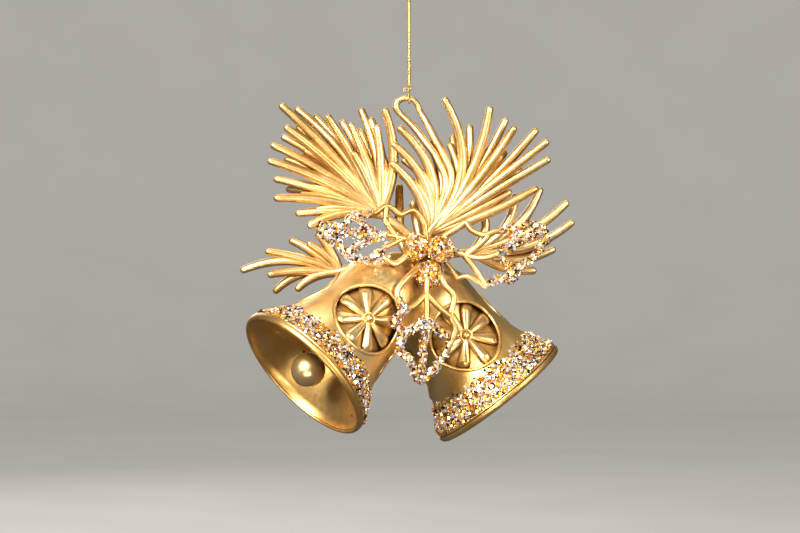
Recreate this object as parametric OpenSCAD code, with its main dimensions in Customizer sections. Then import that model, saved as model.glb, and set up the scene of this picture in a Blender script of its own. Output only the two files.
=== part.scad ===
// Christmas bell ornament: two bells under pine sprays and holly, hanging on a cord.
// Millimetres. +Z is up, +X to the right, +Y to the back. The origin is the hang point, the
// middle of the cord at the top of its end loop, where a hook bears.

/* [Bells] */
// Radius of a bell over its lip
mouth_r = 27.2; // [22.5:0.1:33]
// Height of a bell from mouth to crown
bell_h = 54.5; // [45:0.5:66]
// Radius of a bell at its waist
waist_r = 16.8; // [14:0.1:21]
// Radius of the rounding from waist to crown
shoulder_r = 13.5; // [11:0.5:13.5]
// Wall of the outer shell
shell_wall = 1.2; // [0.9:0.1:1.6]
// Wall of the inner cup
cup_wall = 0.8; // [0.6:0.1:1.2]
// Space between shell and cup at the waist
recess = 2.4; // [1.5:0.1:3.5]
// Height of the rolled lip
lip_h = 2.2; // [1.8:0.1:2.8]
// Width of the rolled lip, across the bell's wall
lip_w = 1.5; // [1.3:0.1:1.8]
// Width of the glitter band along the bell's axis
band_h = 9; // [6:0.5:11]
// Thickness of the glitter band
band_t = 0.6; // [0.4:0.1:1]

/* [Rosettes] */
// Radius of a window in the shell
window_r = 12.1; // [10:0.1:12.5]
// Height of a window's centre above the mouth
window_z = 26.6; // [25:0.1:28]
// Width of the raised rim round a window
rim_w = 0.9; // [0.6:0.1:1.4]
// How far the rim stands up
rim_lift = 0.5; // [0.3:0.1:0.8]
// Width of a petal at its outer end
petal_w = 5; // [4:0.1:6]
// Height of a petal's ridge
petal_t = 1.7; // [1.2:0.1:2]

/* [Clappers] */
// Radius of a clapper's ball
clapper_r = 6; // [5:0.1:7.5]
// Height of the ball's centre above the mouth
clapper_z = 3.5; // [3:0.5:10]
// Radius of a clapper's rod
rod_r = 1.2; // [0.9:0.1:1.5]

/* [Holly and pine] */
// Radius of a berry
berry_r = 4.5; // [3.7:0.1:5.4]
// Radius of a leaf's outline rod
vein_r = 1.05; // [0.85:0.05:1.25]
// Radius of a pine needle
needle_r = 1.4; // [1.15:0.05:1.7]

/* [Hanging] */
// Radius of the hanging eye's bar at its top
eye_bar_r = 1; // [0.8:0.05:1.2]
// Diameter of the cord
cord_d = 1.3; // [1.1:0.1:1.6]
// Diameter of the strand that is hitched through the eye
strand_d = 0.8; // [0.65:0.05:1]
// Radius of the knot above the eye
knot_r = 1.2; // [1:0.1:1.5]

/* [Hidden] */

gold = "#d8ac5c";
deep_gold = "#a9772f";
glitter = "#d9c7ae";
thread = "#cfa95a";

fit = 0.1;       // gap between seated pieces
running = 0.15;  // gap between pieces that move on each other
slack = 0.2;     // gap between the eye's bar and the strand round it
overlap = 0.02;  // how far a cut passes a face

// --- Where things are -------------------------------------------------------------------

eye_bar_z = -61;                           // middle of the eye's bar under the cord
hitch_r = eye_bar_r + slack + strand_d / 2;
knot_z = eye_bar_z + hitch_r + strand_d / 2 + running + knot_r;

// A bell's place: its crown's top, then the way from crown to mouth as a turn in the front
// view, counted from straight down, and a tilt of the mouth to the front.
left_crown = [-1.5, -6, -125];
left_swing = -46;
left_tilt = 23;
left_turn = 6;
right_crown = [-0.5, 6.5, -126];
right_swing = 38.5;
right_tilt = -3;
right_turn = 13;

module at_bell(crown, swing, tilt) {
    // The bell's own frame: z up from the mouth to the crown, front at -y.
    translate(crown) rotate([0, -swing, 0]) rotate([-tilt, 0, 0]) translate([0, 0, -bell_h])
        children();
}

module at_left() { at_bell(left_crown, left_swing, left_tilt) children(); }
module at_right() { at_bell(right_crown, right_swing, right_tilt) children(); }

// --- Bell profile -----------------------------------------------------------------------

crown_hole_r = 2.2;
peg_r = crown_hole_r - fit;
crown_flat = 0.4;                          // flat ring round the crown's hole
shoulder_arc = min(shoulder_r, waist_r - crown_hole_r - crown_flat);
flare_top = bell_h - shoulder_arc - 4.5;   // where the waist starts to widen
flare_power = 2.4;                         // how late the flare opens
groove = 0.3;                              // shadow line between lip and shell
shell_low = lip_h + groove;
function flare(z) = pow(max(0, (flare_top - z) / (flare_top - lip_h)), flare_power);
function outer_r(z) = waist_r + (mouth_r - waist_r) * flare(z);
cup_waist = waist_r - shell_wall - recess;
cup_mouth = mouth_r - shell_wall - fit;
function cup_r(z) = cup_waist + (cup_mouth - cup_waist) * flare(z);

// The flare is drawn through these heights, and the glitter band through its own share.
band_low = shell_low + 0.4;
band_top = band_low + band_h;
band_heights = [for (i = [0:4]) band_low + band_h * i / 4];
flare_heights = concat([shell_low], band_heights,
                       [for (i = [1:6]) band_top + (flare_top - band_top) * i / 6]);
function outer_line(heights, grow) = [for (z = heights) [outer_r(z) + grow, z]];
function arc(mid, r, a0, a1, steps = 8) =
    [for (i = [0:steps]) let (a = a0 + (a1 - a0) * i / steps)
        mid + r * [cos(a), sin(a)]];
function shoulder(inset) =
    arc([waist_r - shoulder_arc, bell_h - shoulder_arc], shoulder_arc - inset, 0, 90);
function reversed(list) = [for (i = [len(list) - 1:-1:0]) list[i]];

module bell_solid(grow) {
    // The bell's whole outer shape, grown by an allowance.
    rotate_extrude($fn = 96) polygon(concat([[0, shell_low]],
        outer_line(flare_heights, grow), shoulder(-grow), [[0, bell_h + grow]]));
}

module shell_wall_ring() {
    rotate_extrude($fn = 96) polygon(concat(
        outer_line(flare_heights, 0), shoulder(0), [[crown_hole_r, bell_h]],
        [[crown_hole_r, bell_h - shell_wall]], reversed(shoulder(shell_wall)),
        reversed(outer_line(flare_heights, -shell_wall))));
}

window_turns = [0, 120, 240];

module through_windows(r, turn) {
    // Plugs through the windows, from the axis outwards.
    for (a = window_turns) rotate([0, 0, turn + a])
        translate([0, 0, window_z]) rotate([90, 0, 0])
            cylinder(h = mouth_r, r = r, $fn = 96);
}

module bell_shell(turn) {
    difference() {
        union() {
            shell_wall_ring();
            intersection() {
                difference() {
                    bell_solid(rim_lift);
                    bell_solid(-shell_wall);
                }
                through_windows(window_r + rim_w, turn);
            }
        }
        through_windows(window_r, turn);
    }
}

module left_bell_room() {
    // The space that the left bell takes, with its raised rims and a fit round it.
    at_left() {
        bell_solid(fit);
        intersection() {
            bell_solid(rim_lift + fit);
            through_windows(window_r + rim_w + fit, left_turn);
        }
    }
}

cup_arc = min(shoulder_arc - shell_wall - fit, cup_waist - crown_hole_r - crown_flat);
cup_top = bell_h - shell_wall - fit;
cup_steps = 9;
function cup_line(grow) =
    [for (i = [0:cup_steps]) let (z = lip_h + (flare_top - lip_h) * i / cup_steps)
        [cup_r(z) + grow, z]];
function cup_dome(inset) =
    arc([cup_waist - cup_arc, cup_top - cup_arc], cup_arc - inset, 0, 90);

function lip_curve(steps = 6) =
    [for (i = [0:steps]) let (a = 90 * i / steps)
        [mouth_r - lip_w * (1 - sin(a)), lip_h * (1 - cos(a))]];

module bell_cup() {
    // A smooth cup whose rim rolls outward under the shell's edge and makes the lip.
    rotate_extrude($fn = 96) polygon(concat(
        lip_curve(), cup_line(0), cup_dome(0),
        [[crown_hole_r, cup_top], [crown_hole_r, cup_top - cup_wall]],
        reversed(cup_dome(cup_wall)), reversed(cup_line(-cup_wall))));
}

// The pegs that a bell's crown sits on, and the rods that end in them
peg_up = 9;        // from the crown's top up into the hub
peg_down = 3;      // from the crown's top down into the bell
rod_in = 3;        // how far a clapper's rod goes into its peg

module peg() {
    difference() {
        translate([0, 0, bell_h - peg_down])
            cylinder(h = peg_up + peg_down, r = peg_r, $fn = 48);
        translate([0, 0, bell_h - peg_down - overlap])
            cylinder(h = rod_in + fit + overlap, r = rod_r + fit / 2, $fn = 48);
    }
}

module clapper() {
    union() {
        translate([0, 0, clapper_z]) sphere(r = clapper_r, $fn = 64);
        translate([0, 0, clapper_z])
            cylinder(h = bell_h - peg_down + rod_in - clapper_z, r = rod_r, $fn = 32);
    }
}

module glitter_band() {
    rotate_extrude($fn = 96) polygon(concat(outer_line(band_heights, band_t),
        reversed(outer_line(band_heights, overlap / 2))));
}

// --- Rosettes ---------------------------------------------------------------------------

petals = 8;
hub_r = 2.1;
bead_r = 1.6;
// How far out from the bell's axis the face lies at a place in the window: across, and up.
function face(across, up) =
    sqrt(pow(outer_r(window_z + up), 2) - across * across);
petal_in = hub_r * 0.6;
petal_bend = window_r * 0.8;
petal_out = window_r - fit;
post_r = 1.2;
post_in = cup_r(window_z) - cup_wall / 2;

module petal_section(reach, a, width, sink) {
    across = reach * sin(a);
    up = reach * cos(a);
    translate([across, -face(across, up) + sink, up]) rotate([0, a, 0])
        linear_extrude(overlap)
            polygon([[-width / 2, petal_t], [width / 2, petal_t], [width / 4, 0],
                     [-width / 4, 0]]);
}

module rosette(turn) {
    rotate([0, 0, turn]) translate([0, 0, window_z]) {
        for (i = [0:petals - 1]) let (a = i * 360 / petals) {
            hull() {
                petal_section(petal_in, a, petal_w * 0.4, 0);
                petal_section(petal_bend, a, petal_w, 0.1);
            }
            hull() {
                petal_section(petal_bend, a, petal_w, 0.1);
                petal_section(petal_out - 0.6, a, petal_w * 0.8, 1);
            }
        }
        translate([0, -face(0, 0) + petal_t, 0]) rotate([90, 0, 0]) {
            cylinder(h = petal_t + 0.2, r = hub_r, $fn = 24);
            translate([0, 0, petal_t]) sphere(r = bead_r, $fn = 16);
        }
        // A post that is glued into the cup's wall
        translate([0, -post_in, 0]) rotate([90, 0, 0])
            cylinder(h = face(0, 0) - petal_t / 2 - post_in, r = post_r, $fn = 24);
    }
}

// --- Rods, needles and leaves -----------------------------------------------------------

module ball(p, r, sides = 6) { translate(p) sphere(r = r, $fn = sides); }

// A rod through points, each with its own radius.
module rod(points, radii, sides = 6) {
    for (i = [0:len(points) - 2]) hull() {
        ball(points[i], radii[i], sides);
        ball(points[i + 1], radii[i + 1], sides);
    }
}

// A needle is [way, length, bow, tip depth]: way is its angle in the front view, counted from
// +X, bow is how far its middle lies to its left, and depth is how far back its tip is.
needle_steps = 3;
function needle_at(root, n, t) = root
    + n[1] * t * [cos(n[0]), 0, sin(n[0])]
    + n[2] * 4 * t * (1 - t) * [-sin(n[0]), 0, cos(n[0])]
    + [0, n[3] * t * t, 0];
function needle_thick(t) = needle_r * (0.75 + 0.25 * sin(180 * min(1, t * 1.1)));

module needles(root, list) {
    for (n = list) rod([for (i = [0:needle_steps]) needle_at(root, n, i / needle_steps)],
                       [for (i = [0:needle_steps]) needle_thick(i / needle_steps)]);
}

upper_left_root = [-10.5, -5, -103];
upper_left = [[132, 52, -1.5, -2], [128, 48, -3, 3], [118, 39, -1, -4], [108, 33, -1, -5],
    [100, 38, -2.5, 4], [92, 31, -1, -1], [87, 37, -4, -2], [137, 45, -1.5, -5],
    [141, 44, -2.5, 1], [147, 45, -2, -3], [154, 43, -2, -6], [161, 39, -1.5, 0],
    [171, 37, -2, -4], [179, 29, -1, -1], [-171, 25, -2.5, -3], [123, 42, -2, 7],
    [112, 36, -2, 6], [133, 43, -2, 8], [149, 39, -2, 7], [164, 34, -1.5, 6],
    [103, 31, -2, 8], [95, 34, -2.5, 3]];
upper_left_stem = [[6, -5, -116], [-3, -5, -108], [-12, -5, -101], [-20, -5, -94]];

upper_right_root = [7, -5, -110];
upper_right = [[105, 39, -6.5, -1], [111, 34, -5, -2], [117, 28, -3, -3], [83, 48, -9, -3],
    [69, 41, -4.5, 2], [64, 49.5, -4, -3], [56, 49, -2, 1], [51, 48, -1.5, -4],
    [44, 53, -1.5, 0], [38, 53, 0, -3], [32, 50, 0.5, -1], [23, 41.5, -1.5, 2],
    [99, 33, -5, 5], [90, 33, -5, 6], [76, 36, -4, 7], [60, 38, -2, 8], [47, 40, -1, 7],
    [35, 40, 0, 6]];

lower_right_root = [23, 2, -116];
lower_right = [[42, 33, -4, 4], [27, 38, -3, 2], [16, 37, -4, 0], [1, 29, -3.5, 2],
    [-18, 23, -2, 1], [52, 25, -4, 0], [72, 14, -2, 1], [35, 26, -3, 6], [8, 28, -3, 6]];
lower_right_stem = [[5, -2, -116], [14, 0, -117], [24, 2, -116], [32, 2, -114]];

lower_left_root = [-25, 5, -124];
lower_left = [[178, 35, -4, 0], [163, 27, -1, -2], [146, 21, -1, 2], [136, 15, -1, -2],
    [119, 16, -1, 0], [-179, 25, -1, -3], [-165, 24, -3.5, 1], [-160, 16, -2, -2]];
lower_left_stem = [[1, 1, -118], [-12, 4, -119], [-24, 5, -123], [-33, 5, -124]];

// The hanging eye's bar from its right end over the top to its left end, and the two needles
// whose tips run into it
eye_path = [[3.7, 0, eye_bar_z - 4.2], [3.1, 0, eye_bar_z - 2.5], [2, 0, eye_bar_z - 1],
            [0.7, 0, eye_bar_z - 0.1], [-0.7, 0, eye_bar_z + 0.1], [-2.3, 0, eye_bar_z - 0.1],
            [-3.8, 0, eye_bar_z - 0.9], [-4.7, 0, eye_bar_z - 2.2], [-4.6, 0, eye_bar_z - 3.7],
            [-3.6, 0, eye_bar_z - 5.1]];
eye_swell = [1.1, 1, 1, 1, 1, 1.1, 1.2, 1.25, 1.25, 1.2];
eye_leg_left = [[13, -5, -93], [10, -4, -83], [7, -3, -78.4], [2.2, -1, -72],
                eye_path[len(eye_path) - 1]];
eye_leg_right = [[15, -5, -92], [12.5, -4, -82], [9.4, -2.5, -76], [6.4, -1, -70], eye_path[0]];

back_needles = [[[-3.5, 3, -112], [-3.5, 4, -104], [-3.5, 3, -93]],
                [[4, 2, -112], [2.5, 4, -104], [1.5, 1, -99]]];

module spray_upper_left() {
    needles(upper_left_root, upper_left);
    rod(upper_left_stem, [1.8, 1.8, 1.6, 1.2]);
}

module spray_upper_right() {
    needles(upper_right_root, upper_right);
    for (leg = [eye_leg_left, eye_leg_right])
        rod(concat([upper_right_root], leg), [1, 1.3, 1.4, 1.4, 1.3, eye_bar_r * 1.1]);
    rod([[6, -5, -116], upper_right_root, [12, -5, -103]], [1.9, 1.8, 1.4]);
}

module spray_lower_left() {
    needles(lower_left_root, lower_left);
    rod(lower_left_stem, [1.4, 1.4, 1.6, 1.3]);
}

module spray_lower_right() {
    needles(lower_right_root, lower_right);
    rod(lower_right_stem, [1.6, 1.5, 1.5, 1.2]);
}

module needles_back() {
    for (path = back_needles) rod(path, [1.6, 1.7, 1.4]);
    rod([[-3.5, 3, -112], [0, 0.5, -117], [4, 2, -112]], [1.5, 1.6, 1.5]);
}

// The bells lean to the front, so a wider waist pushes leaves and berries out by this much more.
push = 1.4;

// Berries: a ball on a short stalk into the hub.
berry_gap = 0.15;
// The middle between the two upper berries
berry_mid = [6.5, 8.02 - push * waist_r - berry_r, -115.8];
berry_spots = [for (way = [[-1, 0, 0.25], [1, 0, 0.03], [0.15, 0, -1.88]])
    berry_mid + way * (berry_r + berry_gap / 2)];
hub_front = [7, -12, -116];
stalk_r = 1.2;

module berry(i) {
    way = hub_front - berry_spots[i];
    translate(berry_spots[i]) {
        sphere(r = berry_r, $fn = 48);
        rotate([0, acos(way[2] / norm(way)), atan2(way[1], way[0])])
            cylinder(h = norm(way) - 3, r = stalk_r, $fn = 24);
    }
}

// Leaves: an outline, a midrib and side veins. Points are [x, z] in the front view, and the
// depth falls off from the midrib, so that a leaf is domed.
leaf_left_front = -1.15 - push * waist_r;
leaf_left_outline = [[6, -112], [5, -106], [1.5, -102], [-3, -103.5], [-8, -100.5],
    [-13, -103.5], [-19, -104], [-24, -108], [-31, -107.5], [-28, -112.5], [-25, -113],
    [-21, -118], [-14.5, -119.5], [-9.5, -118], [-5, -120.5], [-1, -118], [3, -115]];
leaf_left_veins = [[[3, -113], [-9, -110.5], [-29, -109.5]],
    [[-4, -112], [-8, -106], [-8, -101]], [[-12, -110.5], [-16, -107], [-18, -104.5]],
    [[-3, -112], [-10, -116], [-13, -119]], [[-11, -111], [-18, -114], [-21, -117.5]]];

leaf_right_front = -13.2;
leaf_right_outline = [[12.5, -111], [20, -106], [22.5, -109], [27, -110.5], [31.5, -109],
    [38.5, -108.5], [43, -106.5], [48, -108], [48.5, -111], [46, -116], [43.5, -119],
    [39, -122], [36.5, -126.5], [31, -126], [27, -128.5], [21, -125], [17, -125.5],
    [13, -120]];
leaf_right_veins = [[[9, -116], [14, -116], [25, -118.5], [34, -116], [47, -109]],
    [[20, -117.5], [26, -113], [28, -110.5]], [[19, -117], [23, -122], [27, -128]],
    [[31, -117.5], [36, -113.5], [38, -109]], [[32, -117.5], [35, -121], [36.5, -126]]];

leaf_bottom_front = -3.05 - push * waist_r;
leaf_bottom_high = berry_mid[2] - berry_r - 0.7;
leaf_bottom_outline = [[4, leaf_bottom_high], [-4, -129.5], [-2, -136.5], [-5, -140.5], [-2, -144.5],
    [-3.5, -151], [-0.5, -153], [3.5, -161.5], [9, -157], [13, -151], [16, -144],
    [14.5, -139], [15.5, -132], [12, -127.5], [10, leaf_bottom_high]];
leaf_bottom_veins = [[[6.5, -124], [6, -131], [6, -140], [4, -160]],
    [[6, -131], [2, -135], [-1.5, -136.5]], [[6, -131], [10, -135.5], [14, -139]],
    [[5.5, -140], [2, -143], [-2, -145]], [[5.5, -140], [9, -143], [14, -147]]];

// Depth of a leaf at a place: it leans from its middle, its edges bow back, and above curl_z
// it turns back to the hub.
function leaf_point(p, mid, front, lean, curl_z) =
    let (off = p - mid, curl = max(0, p[1] - curl_z))
    [p[0], front + lean * off[0] + off * off / 100 + 0.1 * curl * curl, p[1]];

module leaf(outline, veins, mid, front, lean, curl_z) {
    closed = concat(outline, [outline[0]]);
    rod([for (p = closed) leaf_point(p, mid, front, lean, curl_z)],
        [for (p = closed) vein_r]);
    for (vein = veins) rod([for (p = vein) leaf_point(p, mid, front, lean, curl_z)],
                           [for (p = vein) vein_r * 0.9]);
}

module leaf_left() {
    leaf(leaf_left_outline, leaf_left_veins, [-12, -111], leaf_left_front, 0.25, 0);
}
module leaf_right() {
    leaf(leaf_right_outline, leaf_right_veins, [30, -117], leaf_right_front, 0, 0);
}
module leaf_bottom() {
    leaf(leaf_bottom_outline, leaf_bottom_veins, [6, -140], leaf_bottom_front, 0.35, -127);
}

module hub_block() {
    difference() {
        union() {
            hull() {
                ball([5, -4, -120], 4, 16);
                ball([-5, 4.5, -120], 4, 16);
            }
            hull() {
                ball([5, -4, -120], 4, 16);
                ball(hub_front, 5, 16);
            }
        }
        at_left() bell_solid(fit);
        at_right() bell_solid(fit);
    }
    at_left() peg();
    at_right() peg();
}

// --- Eye, hitch and cord ----------------------------------------------------------------

module eye() { rod(eye_path, eye_bar_r * eye_swell, 12); }

module strand_loop() {
    translate([0, 0, eye_bar_z]) rotate([0, 90, 0]) rotate_extrude($fn = 64)
        translate([hitch_r, 0]) circle(r = strand_d / 2, $fn = 24);
}

module knot() { translate([0, 0, knot_z]) sphere(r = knot_r, $fn = 32); }

cord_low = knot_z + knot_r + running;
// The cord's route: straight up from the knot, round the end loop and back to its knot
cord_route = [[0, 0, cord_low], [0, 0, -50], [0, 0, -43], [0, 0, -36], [0, 0, -29],
    [0, 0, -24], [0.8, 0, -21], [2.2, 0, -18], [4, 0, -14.5], [5.3, 0, -10.5],
    [5.6, 0, -7], [5, 0, -3.8], [3.7, 0, -1.4], [2, 0, -0.3], [0, 0, 0],
    [-2, 0, -0.3], [-3.7, 0, -1.4], [-5, 0, -3.8], [-5.5, 0, -7], [-5.2, 0, -10.5], [-4, 0, -14.5],
    [-2.4, 0, -18], [-1.5, 0, -20], [-1.4, 0, -22.5]];
cord_sides = 8;

function unit(v) = v / norm(v);
function cord_way(i) = unit(cord_route[min(i + 1, len(cord_route) - 1)]
                            - cord_route[max(i - 1, 0)]);
// The route lies in the XZ plane, so each ring's sides are that plane's normal and a turn.
function cord_ring(i) = [for (k = [0:cord_sides - 1])
    let (a = 360 * k / cord_sides, w = cord_way(i), side = [-w[2], 0, w[0]])
    cord_route[i] + cord_d / 2 * (cos(a) * side + sin(a) * [0, 1, 0])];

module cord_tube() {
    rings = len(cord_route);
    points = [for (i = [0:rings - 1]) each cord_ring(i)];
    sides = [for (i = [0:rings - 2], k = [0:cord_sides - 1])
        let (a = i * cord_sides + k, b = i * cord_sides + (k + 1) % cord_sides)
        [a, b, b + cord_sides, a + cord_sides]];
    ends = [[for (k = [cord_sides - 1:-1:0]) k],
            [for (k = [0:cord_sides - 1]) (rings - 1) * cord_sides + k]];
    polyhedron(points, concat(sides, ends), convexity = 6);
}

module knot_at_end() {
    translate([-0.6, 0, -23]) sphere(r = 2.1, $fn = 32);
}

// --- The sub-parts ----------------------------------------------------------------------

module left_bell_shell() { color(gold) at_left() bell_shell(left_turn); }
module right_bell_shell() {
    color(gold) difference() {
        at_right() bell_shell(right_turn);
        left_bell_room();
    }
}
module left_bell_cup() { color(deep_gold) at_left() bell_cup(); }
module right_bell_cup() {
    color(deep_gold) difference() {
        at_right() bell_cup();
        left_bell_room();
    }
}
module left_clapper() { color(gold) at_left() clapper(); }
module right_clapper() { color(gold) at_right() clapper(); }
module left_glitter_band() { color(glitter) at_left() glitter_band(); }
module right_glitter_band() { color(glitter) at_right() glitter_band(); }
module left_rosette_front() { color(gold) at_left() rosette(left_turn); }
module left_rosette_upper() { color(gold) at_left() rosette(left_turn + 240); }
module left_rosette_lower() { color(gold) at_left() rosette(left_turn + 120); }
module right_rosette_front() { color(gold) at_right() rosette(right_turn); }
module right_rosette_upper() { color(gold) at_right() rosette(right_turn + 120); }
module right_rosette_lower() { color(gold) at_right() rosette(right_turn + 240); }
module holly_leaf_left() { color(gold) leaf_left(); }
module holly_leaf_right() { color(gold) leaf_right(); }
module holly_leaf_bottom() { color(gold) leaf_bottom(); }
module berry_left() { color(glitter) berry(0); }
module berry_right() { color(glitter) berry(1); }
module berry_bottom() { color(glitter) berry(2); }
module pine_spray_upper_left() { color(gold) spray_upper_left(); }
module pine_spray_upper_right() { color(gold) spray_upper_right(); }
module pine_spray_lower_left() { color(gold) spray_lower_left(); }
module pine_spray_lower_right() { color(gold) spray_lower_right(); }
module pine_needles_back() { color(gold) needles_back(); }
module hub() { color(deep_gold) hub_block(); }
module hanging_eye() { color(gold) eye(); }
module hitch_loop() { color(thread) strand_loop(); }
module hitch_knot() { color(thread) knot(); }
module cord() { color(thread) cord_tube(); }
module end_knot() { color(thread) knot_at_end(); }

left_bell_shell();
right_bell_shell();
left_bell_cup();
right_bell_cup();
left_clapper();
right_clapper();
left_glitter_band();
right_glitter_band();
left_rosette_front();
left_rosette_upper();
left_rosette_lower();
right_rosette_front();
right_rosette_upper();
right_rosette_lower();
holly_leaf_left();
holly_leaf_right();
holly_leaf_bottom();
berry_left();
berry_right();
berry_bottom();
pine_spray_upper_left();
pine_spray_upper_right();
pine_spray_lower_left();
pine_spray_lower_right();
pine_needles_back();
hub();
hanging_eye();
hitch_loop();
hitch_knot();
cord();
end_knot();
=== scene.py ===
"""Christmas bell ornament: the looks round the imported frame. Lengths are in millimetres until a
mesh is made, and in metres from there on."""

import random
from math import cos, hypot, pi, radians, sin, sqrt

import bmesh
import bpy
from mathutils import Matrix, Vector


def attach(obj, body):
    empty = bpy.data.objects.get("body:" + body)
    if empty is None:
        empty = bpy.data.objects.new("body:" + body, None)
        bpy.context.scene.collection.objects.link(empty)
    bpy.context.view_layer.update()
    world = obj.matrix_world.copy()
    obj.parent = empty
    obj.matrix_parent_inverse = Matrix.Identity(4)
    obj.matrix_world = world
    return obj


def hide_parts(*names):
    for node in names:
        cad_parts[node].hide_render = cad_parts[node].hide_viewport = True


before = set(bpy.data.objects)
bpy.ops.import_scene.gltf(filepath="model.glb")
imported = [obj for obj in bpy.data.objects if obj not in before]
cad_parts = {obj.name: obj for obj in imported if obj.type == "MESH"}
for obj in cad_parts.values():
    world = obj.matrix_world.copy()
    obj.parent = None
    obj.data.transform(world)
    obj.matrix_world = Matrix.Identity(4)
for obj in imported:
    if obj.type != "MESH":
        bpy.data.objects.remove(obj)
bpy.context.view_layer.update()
MM = 0.001

# --- Camera, light and floor --------------------------------------------------------------

CAMERA_PLACE = (-3.24, -800, -121.56)
LENS, SENSOR = 100, 36


def make_camera():
    """A level camera in front, at the height of the berries."""
    data = bpy.data.cameras.new("camera")
    data.lens, data.sensor_width = LENS, SENSOR
    data.clip_start, data.clip_end = 0.01, 20
    camera = bpy.data.objects.new("camera", data)
    camera.location = Vector(CAMERA_PLACE) * MM
    camera.rotation_euler = (pi / 2, 0, 0)
    bpy.context.scene.collection.objects.link(camera)
    bpy.context.scene.camera = camera


def add_softbox(name, place, target, size, watts, colour):
    data = bpy.data.lights.new(name, "AREA")
    data.shape, data.size, data.size_y = "RECTANGLE", size[0] * MM, size[1] * MM
    data.energy, data.color = watts, colour
    light = bpy.data.objects.new(name, data)
    light.location = Vector(place) * MM
    way = Vector(target) - Vector(place)
    light.rotation_euler = way.to_track_quat("-Z", "Y").to_euler()
    bpy.context.scene.collection.objects.link(light)


def make_lights():
    """A large key light at the upper left, a fill at the right, and weak lights from the other
    sides. The world is dim, so that the metal keeps dark reflections next to bright ones."""
    middle = (0, 0, -130)
    add_softbox("key", (-330, -640, 230), middle, (340, 340), 15, (1, 0.98, 0.94))
    add_softbox("fill", (520, -520, 40), middle, (220, 380), 5, (1, 0.97, 0.93))
    add_softbox("top", (60, 160, 560), middle, (420, 300), 1.5, (1, 0.98, 0.95))
    add_softbox("low", (-60, -560, -400), middle, (420, 120), 2.2, (1, 0.97, 0.93))
    add_softbox("back", (-260, 640, 160), middle, (360, 420), 1.5, (1, 0.97, 0.93))
    world = bpy.data.worlds.new("studio")
    world.use_nodes = True
    background = world.node_tree.nodes["Background"]
    background.inputs["Color"].default_value = (1, 0.97, 0.93, 1)
    background.inputs["Strength"].default_value = 0.09
    bpy.context.scene.world = world
    bpy.context.scene.view_settings.view_transform = "Standard"


# --- Meshes -------------------------------------------------------------------------------

SEED = 25


def outward(mesh):
    """Turns every closed skin's faces to the outside."""
    work = bmesh.new()
    work.from_mesh(mesh)
    bmesh.ops.recalc_face_normals(work, faces=work.faces)
    work.to_mesh(mesh)
    work.free()


def add_piece(name, verts, faces, materials, body, node=None, indices=None, sharp=38):
    """A smooth piece from points in millimetres, which rides on a body."""
    mesh = bpy.data.meshes.new(name)
    mesh.from_pydata([Vector(v) * MM for v in verts], [], faces)
    if indices:
        mesh.polygons.foreach_set("material_index", indices)
    mesh.validate()
    outward(mesh)
    for material in materials:
        mesh.materials.append(material)
    mesh.polygons.foreach_set("use_smooth", [True] * len(mesh.polygons))
    mesh.set_sharp_from_angle(angle=radians(sharp))
    piece = bpy.data.objects.new(name, mesh)
    bpy.context.scene.collection.objects.link(piece)
    if body:
        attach(piece, body)
    if node:
        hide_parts(node)
    return piece


class Shape:
    """Points and faces that grow, with a material number for each face."""

    def __init__(self):
        self.verts, self.faces, self.indices = [], [], []

    def add(self, verts, faces, index=0, place=None):
        first = len(self.verts)
        self.verts += [place @ Vector(v) for v in verts] if place else [Vector(v) for v in verts]
        self.faces += [tuple(first + i for i in face) for face in faces]
        self.indices += [index] * len(faces)

    def piece(self, name, materials, body, node, slot, sharp=38):
        return add_piece(name, self.verts, self.faces, materials, body, node,
                         self.indices, sharp)


def grid_faces(rings, sides, close_rings=False):
    faces = []
    for i in range(rings if close_rings else rings - 1):
        j = (i + 1) % rings
        for k in range(sides):
            n = (k + 1) % sides
            faces.append((i * sides + k, i * sides + n, j * sides + n, j * sides + k))
    return faces


def lathe(profile, segments=160):
    """A closed outline of [r, z] turned round Z. Points on the axis become one point."""
    verts, rows, faces = [], [], []
    for r, z in profile:
        if r < 1e-4:
            rows.append([len(verts)] * segments)
            verts.append((0, 0, z))
        else:
            rows.append(list(range(len(verts), len(verts) + segments)))
            verts += [(r * cos(2 * pi * k / segments), r * sin(2 * pi * k / segments), z)
                      for k in range(segments)]
    for i, row in enumerate(rows):
        after = rows[(i + 1) % len(rows)]
        if row[0] == row[1] and after[0] == after[1]:
            continue
        for k in range(segments):
            n = (k + 1) % segments
            face = [row[k], row[n], after[n], after[k]]
            faces.append(tuple(dict.fromkeys(face)))
    return verts, faces


def spline(points, steps):
    """A smooth line through points: Catmull-Rom."""
    points = [Vector(p) for p in points]
    ends = [2 * points[0] - points[1]] + points + [2 * points[-1] - points[-2]]
    line = []
    for i in range(1, len(ends) - 2):
        a, b, c, d = ends[i - 1:i + 3]
        for k in range(steps):
            t = k / steps
            line.append(0.5 * (2 * b + (c - a) * t + (2 * a - 5 * b + 4 * c - d) * t * t
                               + (3 * b - a - 3 * c + d) * t ** 3))
    return line + [points[-1]]


def blend_list(values, count):
    """Values spread evenly over count places, straight between them."""
    spread = []
    for i in range(count):
        t = i / (count - 1) * (len(values) - 1)
        k = min(int(t), len(values) - 2)
        spread.append(values[k] + (values[k + 1] - values[k]) * (t - k))
    return spread


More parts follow.
